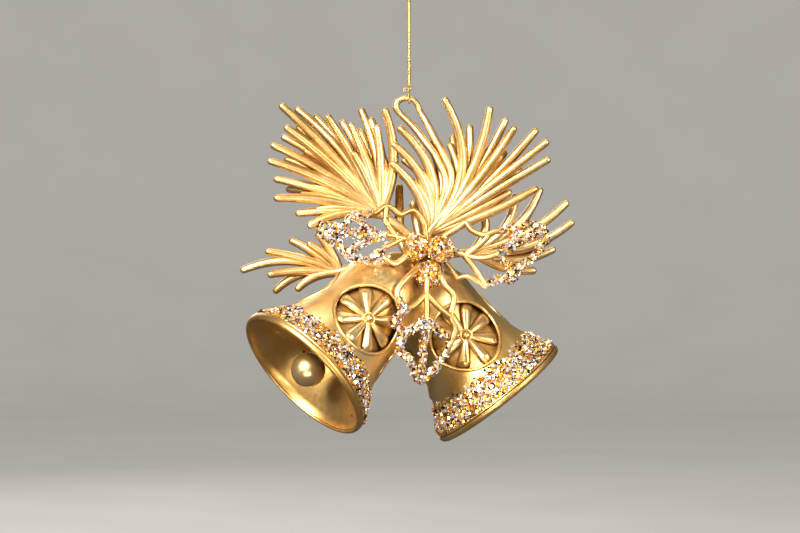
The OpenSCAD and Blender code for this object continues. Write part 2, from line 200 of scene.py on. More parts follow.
def tube(path, radii, sides=14, closed=False, flat=1.0, seam=1.0):
    """A tube round a path, its frame turned as little as possible, with round ends. seam lifts
    its two side lines, where the halves of a mould meet."""
    path = [Vector(p) for p in path]
    count = len(path)
    ways = []
    for i in range(count):
        before = path[i - 1] if closed or i else path[i]
        after = path[(i + 1) % count] if closed or i < count - 1 else path[i]
        ways.append((after - before).normalized())
    side = ways[0].orthogonal().normalized()
    if abs(ways[0].y) < 0.9:
        side = ways[0].cross(Vector((0, 1, 0))).normalized()
    rings = []
    for i in range(count):
        side = (side - ways[i] * side.dot(ways[i])).normalized()
        rings.append((path[i], side, ways[i].cross(side), radii[i]))
    if not closed:
        for end in (0, -1):
            mid, across, up, r = rings[end]
            out = ways[end] * (1 if end else -1)
            caps = [(mid + out * r * sin(a), across, up, r * cos(a))
                    for a in (radians(30), radians(58), radians(80))]
            rings = rings + caps if end else list(reversed(caps)) + rings
    verts = []
    for mid, across, up, r in rings:
        for k in range(sides):
            a = 2 * pi * k / sides
            lift = seam if k % (sides // 2) == 0 else 1
            verts.append(mid + r * lift * (cos(a) * across + flat * sin(a) * up))
    faces = grid_faces(len(rings), sides, closed)
    if not closed:
        faces.append(tuple(range(sides)))
        faces.append(tuple(reversed(range(len(verts) - sides, len(verts)))))
    return verts, faces


def ball(mid, r, segments=32):
    """A round ball with a face grid from pole to pole."""
    rings = segments // 2
    profile = [(r * sin(pi * i / rings), -r * cos(pi * i / rings)) for i in range(rings + 1)]
    verts, faces = lathe(profile, segments)
    return [Vector(mid) + Vector(v) for v in verts], faces


# --- Materials ----------------------------------------------------------------------------


def colour(hex_text):
    """sRGB hex to a linear colour."""
    parts = [int(hex_text[i:i + 2], 16) / 255 for i in (1, 3, 5)]
    linear = [c / 12.92 if c <= 0.04045 else ((c + 0.055) / 1.055) ** 2.4 for c in parts]
    return (*linear, 1)


def add_node(tree, kind, settings=None, **links):
    """A node with its settings and what goes into its sockets: a value, or another socket."""
    node = tree.nodes.new(kind)
    for key, value in (settings or {}).items():
        setattr(node, key, value)
    for key, value in links.items():
        socket = node.inputs[key.replace("_", " ") if key in SPACED else key]
        if isinstance(value, bpy.types.NodeSocket):
            tree.links.new(value, socket)
        else:
            socket.default_value = value
    return node


SPACED = ("From_Min", "From_Max", "To_Min", "To_Max")     # sockets with a space in their name


def per_mm(size):
    """The scale of a noise or cell pattern whose details are size millimetres apart."""
    return 1 / (size * MM)


def ramp(tree, factor, stops):
    node = add_node(tree, "ShaderNodeValToRGB", Fac=factor)
    elements = node.color_ramp.elements
    while len(elements) < len(stops):
        elements.new(0.5)
    for element, (place, shade) in zip(elements, stops):
        element.position, element.color = place, colour(shade)
    return node.outputs["Color"]


def start_material(name):
    material = bpy.data.materials.new(name)
    material.use_nodes = True
    tree = material.node_tree
    shader = tree.nodes["Principled BSDF"]
    place = add_node(tree, "ShaderNodeTexCoord").outputs["Object"]
    return material, tree, shader, place


SHADE_REACH = 3      # how far the ambient occlusion looks for nearby surfaces when it paints shade, in mm


def satin_gold_lacquer(name, light, mid, deep, roughness, grain=0.35, painted_shade="#7a4b17"):
    """Metallised lacquer sprayed on moulded plastic: a satin gold with soft clouds where the
    coat is thicker, a fine flake that breaks up each highlight, and a brown shade painted into
    recesses by ambient occlusion."""
    material, tree, shader, place = start_material(name)
    clouds = add_node(tree, "ShaderNodeTexNoise", Vector=place, Scale=per_mm(14), Detail=3.0)
    flake = add_node(tree, "ShaderNodeTexVoronoi", Vector=place, Scale=per_mm(grain))
    speck = add_node(tree, "ShaderNodeTexNoise", Vector=place, Scale=per_mm(1.1), Detail=2.0)
    tone = add_node(tree, "ShaderNodeMath", {"operation": "MULTIPLY_ADD"})
    tree.links.new(flake.outputs["Distance"], tone.inputs[0])
    tone.inputs[1].default_value = 0.16
    tree.links.new(clouds.outputs["Fac"], tone.inputs[2])
    base = ramp(tree, tone.outputs[0], [(0.3, deep), (0.52, mid), (0.75, light)])
    # Painted shade: ambient occlusion blends the colour towards the dark shade colour in hollows and
    # corners.
    reach = add_node(tree, "ShaderNodeAmbientOcclusion", {"samples": 6}, Distance=SHADE_REACH * MM)
    unshaded_share = add_node(tree, "ShaderNodeMapRange", Value=reach.outputs["AO"], From_Min=0.12,
                       From_Max=0.72)
    shaded_base = add_node(tree, "ShaderNodeMixRGB", Fac=unshaded_share.outputs[0], Color1=colour(painted_shade),
                     Color2=base)
    tree.links.new(shaded_base.outputs[0], shader.inputs["Base Color"])
    rough = add_node(tree, "ShaderNodeMapRange", Value=speck.outputs["Fac"], From_Min=0.3,
                     From_Max=0.7, To_Min=roughness - 0.05, To_Max=roughness + 0.06)
    tree.links.new(rough.outputs[0], shader.inputs["Roughness"])
    bump = add_node(tree, "ShaderNodeBump", Height=speck.outputs["Fac"], Strength=0.05,
                    Distance=0.1 * MM)
    fine = add_node(tree, "ShaderNodeBump", Height=flake.outputs["Distance"], Strength=0.08,
                    Distance=0.03 * MM, Normal=bump.outputs[0])
    tree.links.new(fine.outputs[0], shader.inputs["Normal"])
    shader.inputs["Metallic"].default_value = 0.92
    shader.inputs["Coat Weight"].default_value = 0.15
    shader.inputs["Coat Roughness"].default_value = 0.25
    return material


def foil_flake(name, shade, edge, roughness):
    """Cut foil: flat, bright flakes, each a little lighter or darker than the next."""
    material, tree, shader, place = start_material(name)
    cells = add_node(tree, "ShaderNodeTexNoise", Vector=place, Scale=per_mm(1.6), Detail=1.0)
    base = ramp(tree, cells.outputs["Fac"], [(0.35, edge), (0.6, shade)])
    tree.links.new(base, shader.inputs["Base Color"])
    shader.inputs["Metallic"].default_value = 0.7
    shader.inputs["Roughness"].default_value = roughness
    return material


def glitter_bed(name):
    """The lowest flakes, drowned in glue: cells of about 0.9 mm in the flakes' own colours."""
    material, tree, shader, place = start_material(name)
    cells = add_node(tree, "ShaderNodeTexVoronoi", Vector=place, Scale=per_mm(0.9))
    pick = add_node(tree, "ShaderNodeSeparateColor", Color=cells.outputs["Color"])
    shade = ramp(tree, pick.outputs[0], [(0.0, "#4a2c0c"), (0.25, "#c98a2e"), (0.5, "#f0c060"),
                                         (0.7, "#9c5418"), (0.85, "#f1ead8"), (1.0, "#1c1a1e")])
    tree.links.new(shade, shader.inputs["Base Color"])
    height = add_node(tree, "ShaderNodeMath", {"operation": "ADD"})
    tree.links.new(pick.outputs[1], height.inputs[0])
    tree.links.new(cells.outputs["Distance"], height.inputs[1])
    bump = add_node(tree, "ShaderNodeBump", Height=height.outputs[0], Strength=0.9,
                    Distance=0.35 * MM)
    tree.links.new(bump.outputs[0], shader.inputs["Normal"])
    shader.inputs["Metallic"].default_value = 0.8
    shader.inputs["Roughness"].default_value = 0.32
    return material


def metallic_thread(name, light, deep):
    """Lurex thread: flat metallised film wound round a core, so it glints in short dashes."""
    material, tree, shader, place = start_material(name)
    dashes = add_node(tree, "ShaderNodeTexNoise", Vector=place, Scale=per_mm(0.45), Detail=3.0)
    base = ramp(tree, dashes.outputs["Fac"], [(0.35, deep), (0.6, light)])
    tree.links.new(base, shader.inputs["Base Color"])
    bump = add_node(tree, "ShaderNodeBump", Height=dashes.outputs["Fac"], Strength=0.4,
                    Distance=0.12 * MM)
    tree.links.new(bump.outputs[0], shader.inputs["Normal"])
    shader.inputs["Metallic"].default_value = 0.85
    shader.inputs["Roughness"].default_value = 0.33
    return material


def matt_paper(name, shade, pale):
    """Studio paper, lit through from behind: matt, with the faintest cloud in its tone."""
    material, tree, shader, place = start_material(name)
    cloud = add_node(tree, "ShaderNodeTexNoise", Vector=place, Scale=per_mm(90), Detail=2.0)
    base = ramp(tree, cloud.outputs["Fac"], [(0.3, shade), (0.7, pale)])
    tree.links.new(base, shader.inputs["Base Color"])
    shader.inputs["Roughness"].default_value = 0.85
    shader.inputs["Emission Color"].default_value = colour("#e3e0da")
    shader.inputs["Emission Strength"].default_value = 0.34
    return material


PALE_PAINTED_SHADE = "#a57a3a"     # a paler painted shade for the recesses of the cups and petals
SHELL_GOLD = satin_gold_lacquer("satin_gold_shell", "#edcb8d", "#dfb46b", "#c4954b", 0.38)
# A darker copy of the shell's gold: painted shade on the cups, which lie inside the bells.
CUP_SHADED_GOLD = satin_gold_lacquer("satin_gold_cup_shaded", "#deb571", "#cb9c55", "#ad803f", 0.4,
                              painted_shade=PALE_PAINTED_SHADE)
# A lighter copy of the shell's gold: painted light on the rosette petals.
PETAL_LIT_GOLD = satin_gold_lacquer("satin_gold_petals_lit", "#f6d9a2", "#e9c17c", "#cfa15a", 0.33,
                                painted_shade=PALE_PAINTED_SHADE)
NEEDLE_GOLD = satin_gold_lacquer("satin_gold_needles", "#e9c88e", "#d7ad69", "#b78b48", 0.38, 0.5)
LEAF_GOLD = satin_gold_lacquer("satin_gold_leaves", "#eac68a", "#d8ab63", "#ba8a44", 0.38, 0.5)
# A darker copy of the shell's gold: painted shade on the hub, which sits between the other parts.
HUB_SHADED_GOLD = satin_gold_lacquer("satin_gold_hub_shaded", "#cf9f4e", "#b48240", "#936527", 0.42)
BED = glitter_bed("glitter_bed")
FLAKES = [foil_flake("silver_foil", "#fdfbf8", "#dfdbe4", 0.2),
          foil_flake("gold_foil", "#ffd060", "#e0a032", 0.2),
          foil_flake("copper_foil", "#d98434", "#9a4f16", 0.25),
          foil_flake("dark_foil", "#2a2b36", "#0c0c10", 0.3)]
# Shares of silver, gold, copper and dark flakes
SILVERY = (0.46, 0.25, 0.13, 0.16)
MIXED = (0.36, 0.31, 0.13, 0.2)
COOL = (0.33, 0.32, 0.13, 0.22)
GOLDEN = (0.27, 0.5, 0.14, 0.09)
THREAD = metallic_thread("gold_lurex", "#f0cf85", "#8a6224")


# --- The cord -----------------------------------------------------------------------------

CORD_D = 1.3
EYE_BAR_Z = -61
EYE_BAR_R, STRAND_D, KNOT_R = 1, 0.8, 1.2
RUNNING, SLACK = 0.15, 0.2
HITCH_R = EYE_BAR_R + SLACK + STRAND_D / 2
KNOT_Z = EYE_BAR_Z + HITCH_R + STRAND_D / 2 + RUNNING + KNOT_R
CORD_LOW = KNOT_Z + KNOT_R + RUNNING
CORD_ROUTE = [(0, 0, CORD_LOW), (0, 0, -50), (0, 0, -43), (0, 0, -36), (0, 0, -29),
              (0, 0, -24), (0.8, 0, -21), (2.2, 0, -18), (4, 0, -14.5), (5.3, 0, -10.5),
              (5.6, 0, -7), (5, 0, -3.8), (3.7, 0, -1.4), (2, 0, -0.3), (0, 0, 0),
              (-2, 0, -0.3), (-3.7, 0, -1.4), (-5, 0, -3.8), (-5.5, 0, -7), (-5.2, 0, -10.5),
              (-4, 0, -14.5), (-2.4, 0, -18), (-1.5, 0, -20), (-1.4, 0, -22.5)]
TWIST = 3.4          # length of one full turn of the strands
STRANDS = 3
STRAND_STEP = 0.28   # between the rings of a strand's tube
PRESSED = 1.25       # how much thicker three strands are, pressed into each other


def line_length(line):
    return sum((b - a).length for a, b in zip(line, line[1:]))


def twisted(shape, line, across, strands, pitch, sides=8, closed=False):
    """Strands wound round a line, together as thick as across."""
    strand_r = across / 2 / (1 + 1 / sin(pi / strands)) * (PRESSED if strands > 2 else 1)
    offset = across / 2 - strand_r
    length = line_length(line)
    if closed:
        pitch = length / round(length / pitch)
    count = max(8, int(length / STRAND_STEP))
    points = []
    for i in range(count + (0 if closed else 1)):
        t = i / count * (len(line) - 1)
        k = min(int(t), len(line) - 2)
        points.append((line[k].lerp(line[k + 1], t - k), (line[k + 1] - line[k]).normalized()))
    side = points[0][1].orthogonal().normalized()
    rows = [[] for _ in range(strands)]
    gone = 0
    for i, (mid, way) in enumerate(points):
        if i:
            gone += (mid - points[i - 1][0]).length
        side = (side - way * side.dot(way)).normalized()
        up = way.cross(side)
        for s in range(strands):
            a = 2 * pi * (gone / pitch + s / strands)
            rows[s].append(mid + offset * (cos(a) * side + sin(a) * up))
    for row in rows:
        verts, faces = tube(row, [strand_r] * len(row), sides, closed)
        shape.add(verts, faces)


def make_cord():
    line = spline(CORD_ROUTE, 8)
    shape = Shape()
    twisted(shape, line, CORD_D, STRANDS, TWIST)
    cord = shape.piece("cord_twist", [THREAD], "hanging_cord", "cord", "cord", 60)
    knot = Shape()
    knot_line(knot, (-0.6, 0, -23), 1.75, 0.5)
    tails = [[(-0.9, -0.4, -24.1), (-1.5, -0.9, -24.5), (-2, -1.2, -24.6)],
             [(0.2, 0.3, -24.2), (0.7, 0.7, -24.6), (1.1, 0.6, -24.7)]]
    for tail in tails:
        twisted(knot, spline(tail, 6), 0.5, 2, 1.4, 6)
    end = knot.piece("end_loop_knot", [THREAD], "hanging_cord", "end_knot", "cord", 60)


def knot_line(shape, mid, size, thick):
    """A drawn-up overhand knot: a line that goes twice round and through itself."""
    turns = 72
    line = []
    for i in range(turns + 1):
        a = 2 * pi * i / turns
        line.append(Vector(mid) + size * 0.36 * Vector((sin(a) + 1.5 * sin(2 * a),
                                                        -1.1 * sin(3 * a),
                                                        cos(a) - 1.5 * cos(2 * a))))
    twisted(shape, line, thick * 2, 2, 1.9, 8, True)


def make_hitch():
    """The strand through the eye, the knot above it, and the stray loop beside the knot."""
    ring = Shape()
    turns = 48
    line = [Vector((0, HITCH_R * cos(2 * pi * i / turns),
                    EYE_BAR_Z + HITCH_R * sin(2 * pi * i / turns))) for i in range(turns + 1)]
    twisted(ring, line, STRAND_D, 2, 1.7, 8, True)
    ring.piece("hitch_strand", [THREAD], "eye_hitch", "hitch_loop", "cord", 60)
    knot = Shape()
    knot_line(knot, (0, 0, KNOT_Z), KNOT_R * 0.78, 0.34)
    verts, faces = ball((0, 0, KNOT_Z), KNOT_R * 0.62, 20)
    knot.add(verts, faces)
    stray = [(-0.6, -0.3, KNOT_Z + 0.3), (-1.3, -0.5, KNOT_Z + 0.5), (-1.9, -0.5, KNOT_Z - 0.2),
             (-2.1, -0.4, KNOT_Z - 0.9), (-1.6, -0.4, KNOT_Z - 0.7), (-1, -0.4, KNOT_Z - 0.2),
             (-0.5, -0.3, KNOT_Z - 0.2)]
    twisted(knot, spline(stray, 6), 0.34, 2, 1.2, 6)
    knot.piece("hitch_knot_wound", [THREAD], "cord_knot", "hitch_knot", "cord", 60)


# --- Bells --------------------------------------------------------------------------------

MOUTH_R, BELL_H, WAIST_R, SHOULDER_R = 27.2, 54.5, 16.8, 13.5
SHELL_WALL, CUP_WALL, RECESS = 1.2, 0.8, 2.4
LIP_H, BAND_H, BAND_T = 2.2, 9, 0.6
WINDOW_R, WINDOW_Z, WINDOW_TURNS = 12.1, 26.6, (0, 120, 240)
RIM_OUT, RIM_LIFT, RIM_R = 0.35, 0.02, 0.62   # the rim's middle off the window's edge and skin
PETAL_W, PETAL_T, PETALS = 5, 1.7, 8
CLAPPER_R, CLAPPER_Z, CLAPPER_ROD_R, COLLAR_R = 6, 3.5, 1.2, 1.9
SEAM_LIFT, SEAM_HALF = 0.05, 0.035   # the moulding seam round the ball, in mm and radians
FIT, CROWN_HOLE_R, CROWN_FLAT = 0.1, 2.2, 0.4
GROOVE = 0.3         # shadow line between the lip and the shell
SHELL_LOW = LIP_H + GROOVE
BAND_LOW = SHELL_LOW + 0.4
SHOULDER_ARC = min(SHOULDER_R, WAIST_R - CROWN_HOLE_R - CROWN_FLAT)
FLARE_TOP = BELL_H - SHOULDER_ARC - 4.5
FLARE_POWER = 2.4
CUP_WAIST = WAIST_R - SHELL_WALL - RECESS
CUP_MOUTH = MOUTH_R - SHELL_WALL - FIT
CUP_ARC = min(SHOULDER_ARC - SHELL_WALL - FIT, CUP_WAIST - CROWN_HOLE_R - CROWN_FLAT)
CUP_TOP = BELL_H - SHELL_WALL - FIT
FLOOR_LIFT = 1.2     # the cup's outside stands up behind the windows
EDGE = 0.25          # bevel along the shell's lower edge
PEG_UP, PEG_DOWN = 9, 3
LEFT_TURN, RIGHT_TURN = 6, 13


def bell_place(crown, swing, tilt):
    """From a bell's own frame, mouth at z 0 and front at -y, to the ornament."""
    return (Matrix.Translation(crown) @ Matrix.Rotation(radians(-swing), 4, "Y")
            @ Matrix.Rotation(radians(-tilt), 4, "X") @ Matrix.Translation((0, 0, -BELL_H)))


LEFT = bell_place((-1.5, -6, -125), -46, 23)
RIGHT = bell_place((-0.5, 6.5, -126), 38.5, -3)


def flare(z):
    return max(0, (FLARE_TOP - z) / (FLARE_TOP - LIP_H)) ** FLARE_POWER


def outer_r(z):
    return WAIST_R + (MOUTH_R - WAIST_R) * flare(z)


def cup_r(z):
    return CUP_WAIST + (CUP_MOUTH - CUP_WAIST) * flare(z)


def arc(mid_r, mid_z, r, start, end, steps):
    return [(mid_r + r * cos(radians(start + (end - start) * i / steps)),
             mid_z + r * sin(radians(start + (end - start) * i / steps)))
            for i in range(steps + 1)]


def flare_line(radius, low, grow, steps=44):
    return [(radius(low + (FLARE_TOP - low) * i / steps) + grow,
             low + (FLARE_TOP - low) * i / steps) for i in range(steps + 1)]


def shell_profile():
    mid_r, mid_z = WAIST_R - SHOULDER_ARC, BELL_H - SHOULDER_ARC
    outside = flare_line(outer_r, SHELL_LOW + EDGE, 0) + arc(mid_r, mid_z, SHOULDER_ARC, 4, 90, 22)
    inside = flare_line(outer_r, SHELL_LOW + EDGE, -SHELL_WALL) + arc(
        mid_r, mid_z, SHOULDER_ARC - SHELL_WALL, 4, 90, 16)
    low = outer_r(SHELL_LOW)
    edge = [(low - SHELL_WALL + EDGE, SHELL_LOW), (low - EDGE, SHELL_LOW)]
    crown = [(CROWN_HOLE_R, BELL_H), (CROWN_HOLE_R, BELL_H - SHELL_WALL)]
    return edge + outside + crown + list(reversed(inside))


def solid_profile(grow):
    """The bell's whole outer shape, closed at the mouth and the crown."""
    mid_r, mid_z = WAIST_R - SHOULDER_ARC, BELL_H - SHOULDER_ARC
    line = flare_line(outer_r, SHELL_LOW, grow) + arc(mid_r, mid_z, SHOULDER_ARC + grow, 4, 90, 16)
    return [(0, LIP_H - 2 - grow), (MOUTH_R + grow, LIP_H - 2 - grow)] + line + [
        (0, BELL_H + grow)]


def cup_profile():
    """A smooth cup with a rolled lip: a rounded edge, then a fine step inside it."""
    lip = [(MOUTH_R - 0.1, LIP_H), (MOUTH_R, LIP_H - 0.15)] + [
        (MOUTH_R - 1.0 * (1 - cos(radians(a))), (LIP_H - 0.5) * (1 - sin(radians(a))))
        for a in (10, 25, 40, 55, 70, 82)] + [
        (MOUTH_R - 1.0, 0), (MOUTH_R - 1.25, 0.03), (MOUTH_R - 1.42, 0.16),
        (MOUTH_R - 1.5, 0.42), (MOUTH_R - 1.56, 0.62), (MOUTH_R - 1.78, 0.66),
        (MOUTH_R - 1.95, 0.78), (MOUTH_R - 2.05, 1.15)]
    mid_r, mid_z = CUP_WAIST - CUP_ARC, CUP_TOP - CUP_ARC
    outside = [(r + FLOOR_LIFT * (1 - flare(z)), z) for r, z in flare_line(cup_r, LIP_H, 0)]
    outside += [(mid_r + (CUP_ARC + FLOOR_LIFT) * cos(a), mid_z + CUP_ARC * sin(a))
                for a in (radians(5 * i) for i in range(1, 19))]
    inside = flare_line(cup_r, LIP_H + 0.6, -CUP_WALL) + arc(
        mid_r, mid_z, CUP_ARC - CUP_WALL, 4, 90, 18)
    crown = [(CROWN_HOLE_R, CUP_TOP), (CROWN_HOLE_R, CUP_TOP - CUP_WALL)]
    return list(reversed(lip)) + outside + crown + list(reversed(inside))


def face(across, up):
    """How far in front of the axis the bell's skin lies at a place in a window."""
    return sqrt(max(0, outer_r(WINDOW_Z + up) ** 2 - across * across))


def window_cutter(turn):
    """A plug through one window."""
    verts, faces = tube([(0, -5, WINDOW_Z), (0, -MOUTH_R - 6, WINDOW_Z)], [WINDOW_R] * 2, 96)
    turned = Matrix.Rotation(radians(turn), 4, "Z")
    return [turned @ Vector(v) for v in verts], faces


def cut(piece, cutters):
    """Cuts solids out of a piece and takes them away again."""
    scene = bpy.context.scene.collection
    for verts, faces in cutters:
        tool = add_piece("tool", verts, faces, [], None)
        modifier = piece.modifiers.new("cut", "BOOLEAN")
        modifier.operation, modifier.solver, modifier.object = "DIFFERENCE", "EXACT", tool
        result = bpy.data.meshes.new_from_object(
            piece.evaluated_get(bpy.context.evaluated_depsgraph_get()))
        piece.modifiers.clear()
        piece.data = result
        bpy.data.objects.remove(tool)
    piece.data.set_sharp_from_angle(angle=radians(38))


def rim(turn):
    """The raised rounded rim of a window, which follows the bell's skin."""
    steps = 120
    path = []
    for i in range(steps):
        a = 2 * pi * i / steps
        across, up = (WINDOW_R + RIM_OUT) * sin(a), (WINDOW_R + RIM_OUT) * cos(a)
        path.append(Matrix.Rotation(radians(turn), 3, "Z")
                    @ Vector((across, -face(across, up) - RIM_LIFT, WINDOW_Z + up)))
    return tube(path, [RIM_R] * steps, 10, True)


def make_shell(side, place, turn, other=None):
    verts, faces = lathe(shell_profile(), 192)
    shell = add_piece(f"{side}_shell_skin", [place @ Vector(v) for v in verts], faces,
                      [SHELL_GOLD], "ornament", f"{side}_bell_shell")
    cutters = [([place @ v for v in points], sides)
               for points, sides in (window_cutter(turn + a) for a in WINDOW_TURNS)]
    if other:
        verts, faces = lathe(solid_profile(FIT), 128)
        cutters.append(([other @ Vector(v) for v in verts], faces))
    cut(shell, cutters)
    rims = Shape()
    for a in WINDOW_TURNS:
        rims.add(*rim(turn + a), 0, place)
    trim = rims.piece(f"{side}_window_rims", [SHELL_GOLD], "ornament", None, "shell")
    if other:
        cut(trim, cutters[-1:])


def make_cup(side, place, other=None):
    verts, faces = lathe(cup_profile(), 192)
    cup = add_piece(f"{side}_cup_skin", [place @ Vector(v) for v in verts], faces, [CUP_SHADED_GOLD],
                    "ornament", f"{side}_bell_cup")
    if other:
        verts, faces = lathe(solid_profile(FIT), 128)
        cut(cup, [([other @ Vector(v) for v in verts], faces)])


def make_clapper(side, place):
    """A ball with its moulding seam, a collar and the rod."""
    shape = Shape()
    steps = 40
    profile = [(0, CLAPPER_Z - CLAPPER_R)]
    for i in range(1, steps):
        a = pi * i / steps
        bulge = SEAM_LIFT * max(0, 1 - abs(a - pi / 2) / SEAM_HALF)
        r = (CLAPPER_R + bulge) * sin(a)
        z = CLAPPER_Z - CLAPPER_R * cos(a)
        if a > pi / 2 and r < COLLAR_R:
            break
        profile.append((r, z))
    top = CLAPPER_Z + CLAPPER_R
    end = BELL_H - 0.05
    profile += [(COLLAR_R, top - 0.2), (1.8, top + 0.5), (1.5, top + 0.9), (CLAPPER_ROD_R, top + 1.2),
                (CLAPPER_ROD_R, end), (0, end)]
    shape.add(*lathe(profile, 64), 0, place)
    shape.piece(f"{side}_clapper_ball", [SHELL_GOLD], "ornament", f"{side}_clapper", "clapper")


# --- Rosettes -----------------------------------------------------------------------------

PETAL_IN, PETAL_NARROW = 1.3, 1.9
PETAL_FACE = PETAL_W - 0.5       # between the rounded edges
PETAL_OUT = WINDOW_R - FIT
PETAL_BEND = WINDOW_R * 0.8


def petal(a):
    """One petal: a roof with a rounded ridge, widest at its bend, its end turned down."""
    rows, across_steps = 20, 12
    verts = []
    for i in range(rows + 1):
        t = i / rows
        reach = PETAL_IN + (PETAL_OUT - 0.25 - PETAL_IN) * t
        opening = min(1, (reach - PETAL_IN) / (PETAL_BEND - PETAL_IN))
        width = PETAL_NARROW + (PETAL_FACE - PETAL_NARROW) * opening ** 0.8
        past = max(0, (reach - PETAL_BEND) / (PETAL_OUT - PETAL_BEND))
        width *= 1 - 0.1 * past * past
        drop = 1.15 * past ** 1.3 + 0.25 * (1 - opening)
        for k in range(across_steps + 1):
            v = -1 + 2 * k / across_steps
            ridge = hypot(v, 0.12) - 0.12
            depth = drop + PETAL_T * (0.35 * ridge + 0.4 * max(0, abs(v) - 0.7) / 0.3)
            verts.append(rosette_point(reach, a, v * width / 2, depth))
        for v in (0.7, 0, -0.7):
            verts.append(rosette_point(reach, a, v * width / 2, drop + PETAL_T + 0.25))
    sides = across_steps + 4
    faces = grid_faces(rows + 1, sides)
    faces.append(tuple(reversed(range(sides))))
    faces.append(tuple(range(rows * sides, (rows + 1) * sides)))
    return verts, faces


def rosette_point(reach, a, offset, depth):
    """A place in a window: along a petal, beside its middle, and below the bell's skin."""
    across = reach * sin(a) + offset * cos(a)
    up = reach * cos(a) - offset * sin(a)
    return Vector((across, -face(across, up) + depth, WINDOW_Z + up))


def make_rosette(name, place, turn):
    shape = Shape()
    turned = place @ Matrix.Rotation(radians(turn), 4, "Z")
    for i in range(PETALS):
        shape.add(*petal(2 * pi * i / PETALS), 0, turned)
    front = face(0, 0)
    post_end = front - cup_r(WINDOW_Z) + CUP_WALL / 2
    bead = arc(0, -0.15, 1.45, 90, -12, 14)
    profile = [(0, 1.3)] + bead[1:] + [(1.62, -0.3), (1.8, -0.1), (2.02, -0.02), (2.25, -0.12),
                                       (2.42, -0.4), (2.5, -1.9), (1.2, -2), (1.2, -post_end),
                                       (0, -post_end)]
    verts, faces = lathe(profile, 40)
    facing = turned @ Matrix.Translation((0, -front, WINDOW_Z)) @ Matrix.Rotation(
        pi / 2, 4, "X")
    shape.add(verts, faces, 0, facing)
    shape.piece(f"{name}_wheel", [PETAL_LIT_GOLD], "ornament", name, "rosette", 50)


# --- Glitter ------------------------------------------------------------------------------

FLAKE_SIZES = (0.34, 0.64)
FLAKE_HALF = 0.05            # half of a flake's thickness with its lacquer
BAND_FLAKES, FALLEN_FLAKES = 2900, 170
STRAY_SHARES = (0.2, 0, 0, 0.8)


def pick_flake(chance, shares):
    level = chance.random()
    for index, share in enumerate(shares):
        level -= share
        if level < 0:
            return index
    return 0


def add_flake(shape, chance, mid, normal, shares, first=1, size=None, lean=0.5):
    """A six-sided foil flake, which leans a little off its surface."""
    r = size or chance.uniform(*FLAKE_SIZES)
    tilt = Vector([chance.gauss(0, lean) for _ in range(3)])
    axis = (Vector(normal).normalized() + tilt).normalized()
    side = axis.orthogonal().normalized()
    side.rotate(Matrix.Rotation(chance.uniform(0, pi), 3, axis))
    up = axis.cross(side)
    verts = []
    for level in (-FLAKE_HALF, FLAKE_HALF):
        verts += [Vector(mid) + axis * level + r * (cos(pi * k / 3) * side + sin(pi * k / 3) * up)
                  for k in range(6)]
    faces = [(5, 4, 3, 2, 1, 0), (6, 7, 8, 9, 10, 11)]
    faces += [(k, (k + 1) % 6, (k + 1) % 6 + 6, k + 6) for k in range(6)]
    shape.add(verts, faces, first + pick_flake(chance, shares))


def skin_normal(z, a):
    slope = (outer_r(z + 0.1) - outer_r(z - 0.1)) / 0.2
    return Vector((cos(a), sin(a), -slope)).normalized()


def make_band(side, place, seed, shares):
    """A bed of flakes in glue with loose flakes over it, thin and ragged at its upper edge."""
    chance = random.Random(seed)
    shape = Shape()
    steps = 12
    bed = [(outer_r(BAND_LOW + BAND_H * i / steps) + 0.03
            + (BAND_T - 0.1) * min(1, 6 * min(i, steps - i) / steps),
            BAND_LOW + BAND_H * i / steps) for i in range(steps + 1)]
    back = [(outer_r(BAND_LOW + BAND_H * i / steps) - 0.2, BAND_LOW + BAND_H * i / steps)
            for i in range(steps, -1, -1)]
    shape.add(*lathe(bed + back, 160), 0, place)
    turn = place.to_3x3()
    for _ in range(BAND_FLAKES):
        a = chance.uniform(0, 2 * pi)
        edge = BAND_H + 0.9 * sin(5 * a + seed) + 0.6 * sin(13 * a + 2 * seed)
        z = BAND_LOW + chance.uniform(0.1, 1) * edge
        r = outer_r(z) + (BAND_T if z < BAND_LOW + BAND_H else 0) + chance.uniform(0, 0.35)
        add_flake(shape, chance, place @ Vector((r * cos(a), r * sin(a), z)),
                  turn @ skin_normal(z, a), shares)
    for _ in range(FALLEN_FLAKES):
        a = chance.uniform(0, 2 * pi)
        z = BAND_LOW + BAND_H + abs(chance.gauss(0, 2.2))
        if z > WINDOW_Z - WINDOW_R - 1:
            continue
        r = outer_r(z) + 0.12
        add_flake(shape, chance, place @ Vector((r * cos(a), r * sin(a), z)),
                  turn @ skin_normal(z, a), shares, 1, None, 0.15)
    shape.piece(f"{side}_band_flakes", [BED] + FLAKES, "ornament", f"{side}_glitter_band",
                "glitter", 30)


def make_strays(name, place, seed, spots):
    """Single flakes that fell on the cup's inside: [height, turn round the axis]."""
    chance = random.Random(seed)
    shape = Shape()
    for z, a in spots:
        r = cup_r(z) - CUP_WALL - 0.12
        add_flake(shape, chance, place @ Vector((r * cos(a), r * sin(a), z)),
                  place.to_3x3() @ -skin_normal(z, a), STRAY_SHARES, 0, 0.42, 0.1)
    shape.piece(name, FLAKES, "ornament", None, "glitter", 30)


# --- Berries ------------------------------------------------------------------------------

BERRY_R, BERRY_GAP, BERRY_FLAKES = 4.5, 0.15, 560
STALK_R = 1.2
BERRY_MID = Vector((6.5, -20, -115.8))
BERRY_WAYS = {"berry_left": (-1, 0, 0.25), "berry_right": (1, 0, 0.03),
              "berry_bottom": (0.15, 0, -1.88)}
HUB_FRONT = Vector((7, -12, -116))
BARE_PATCH = Vector((-0.95, -0.3, 0.1)).normalized()


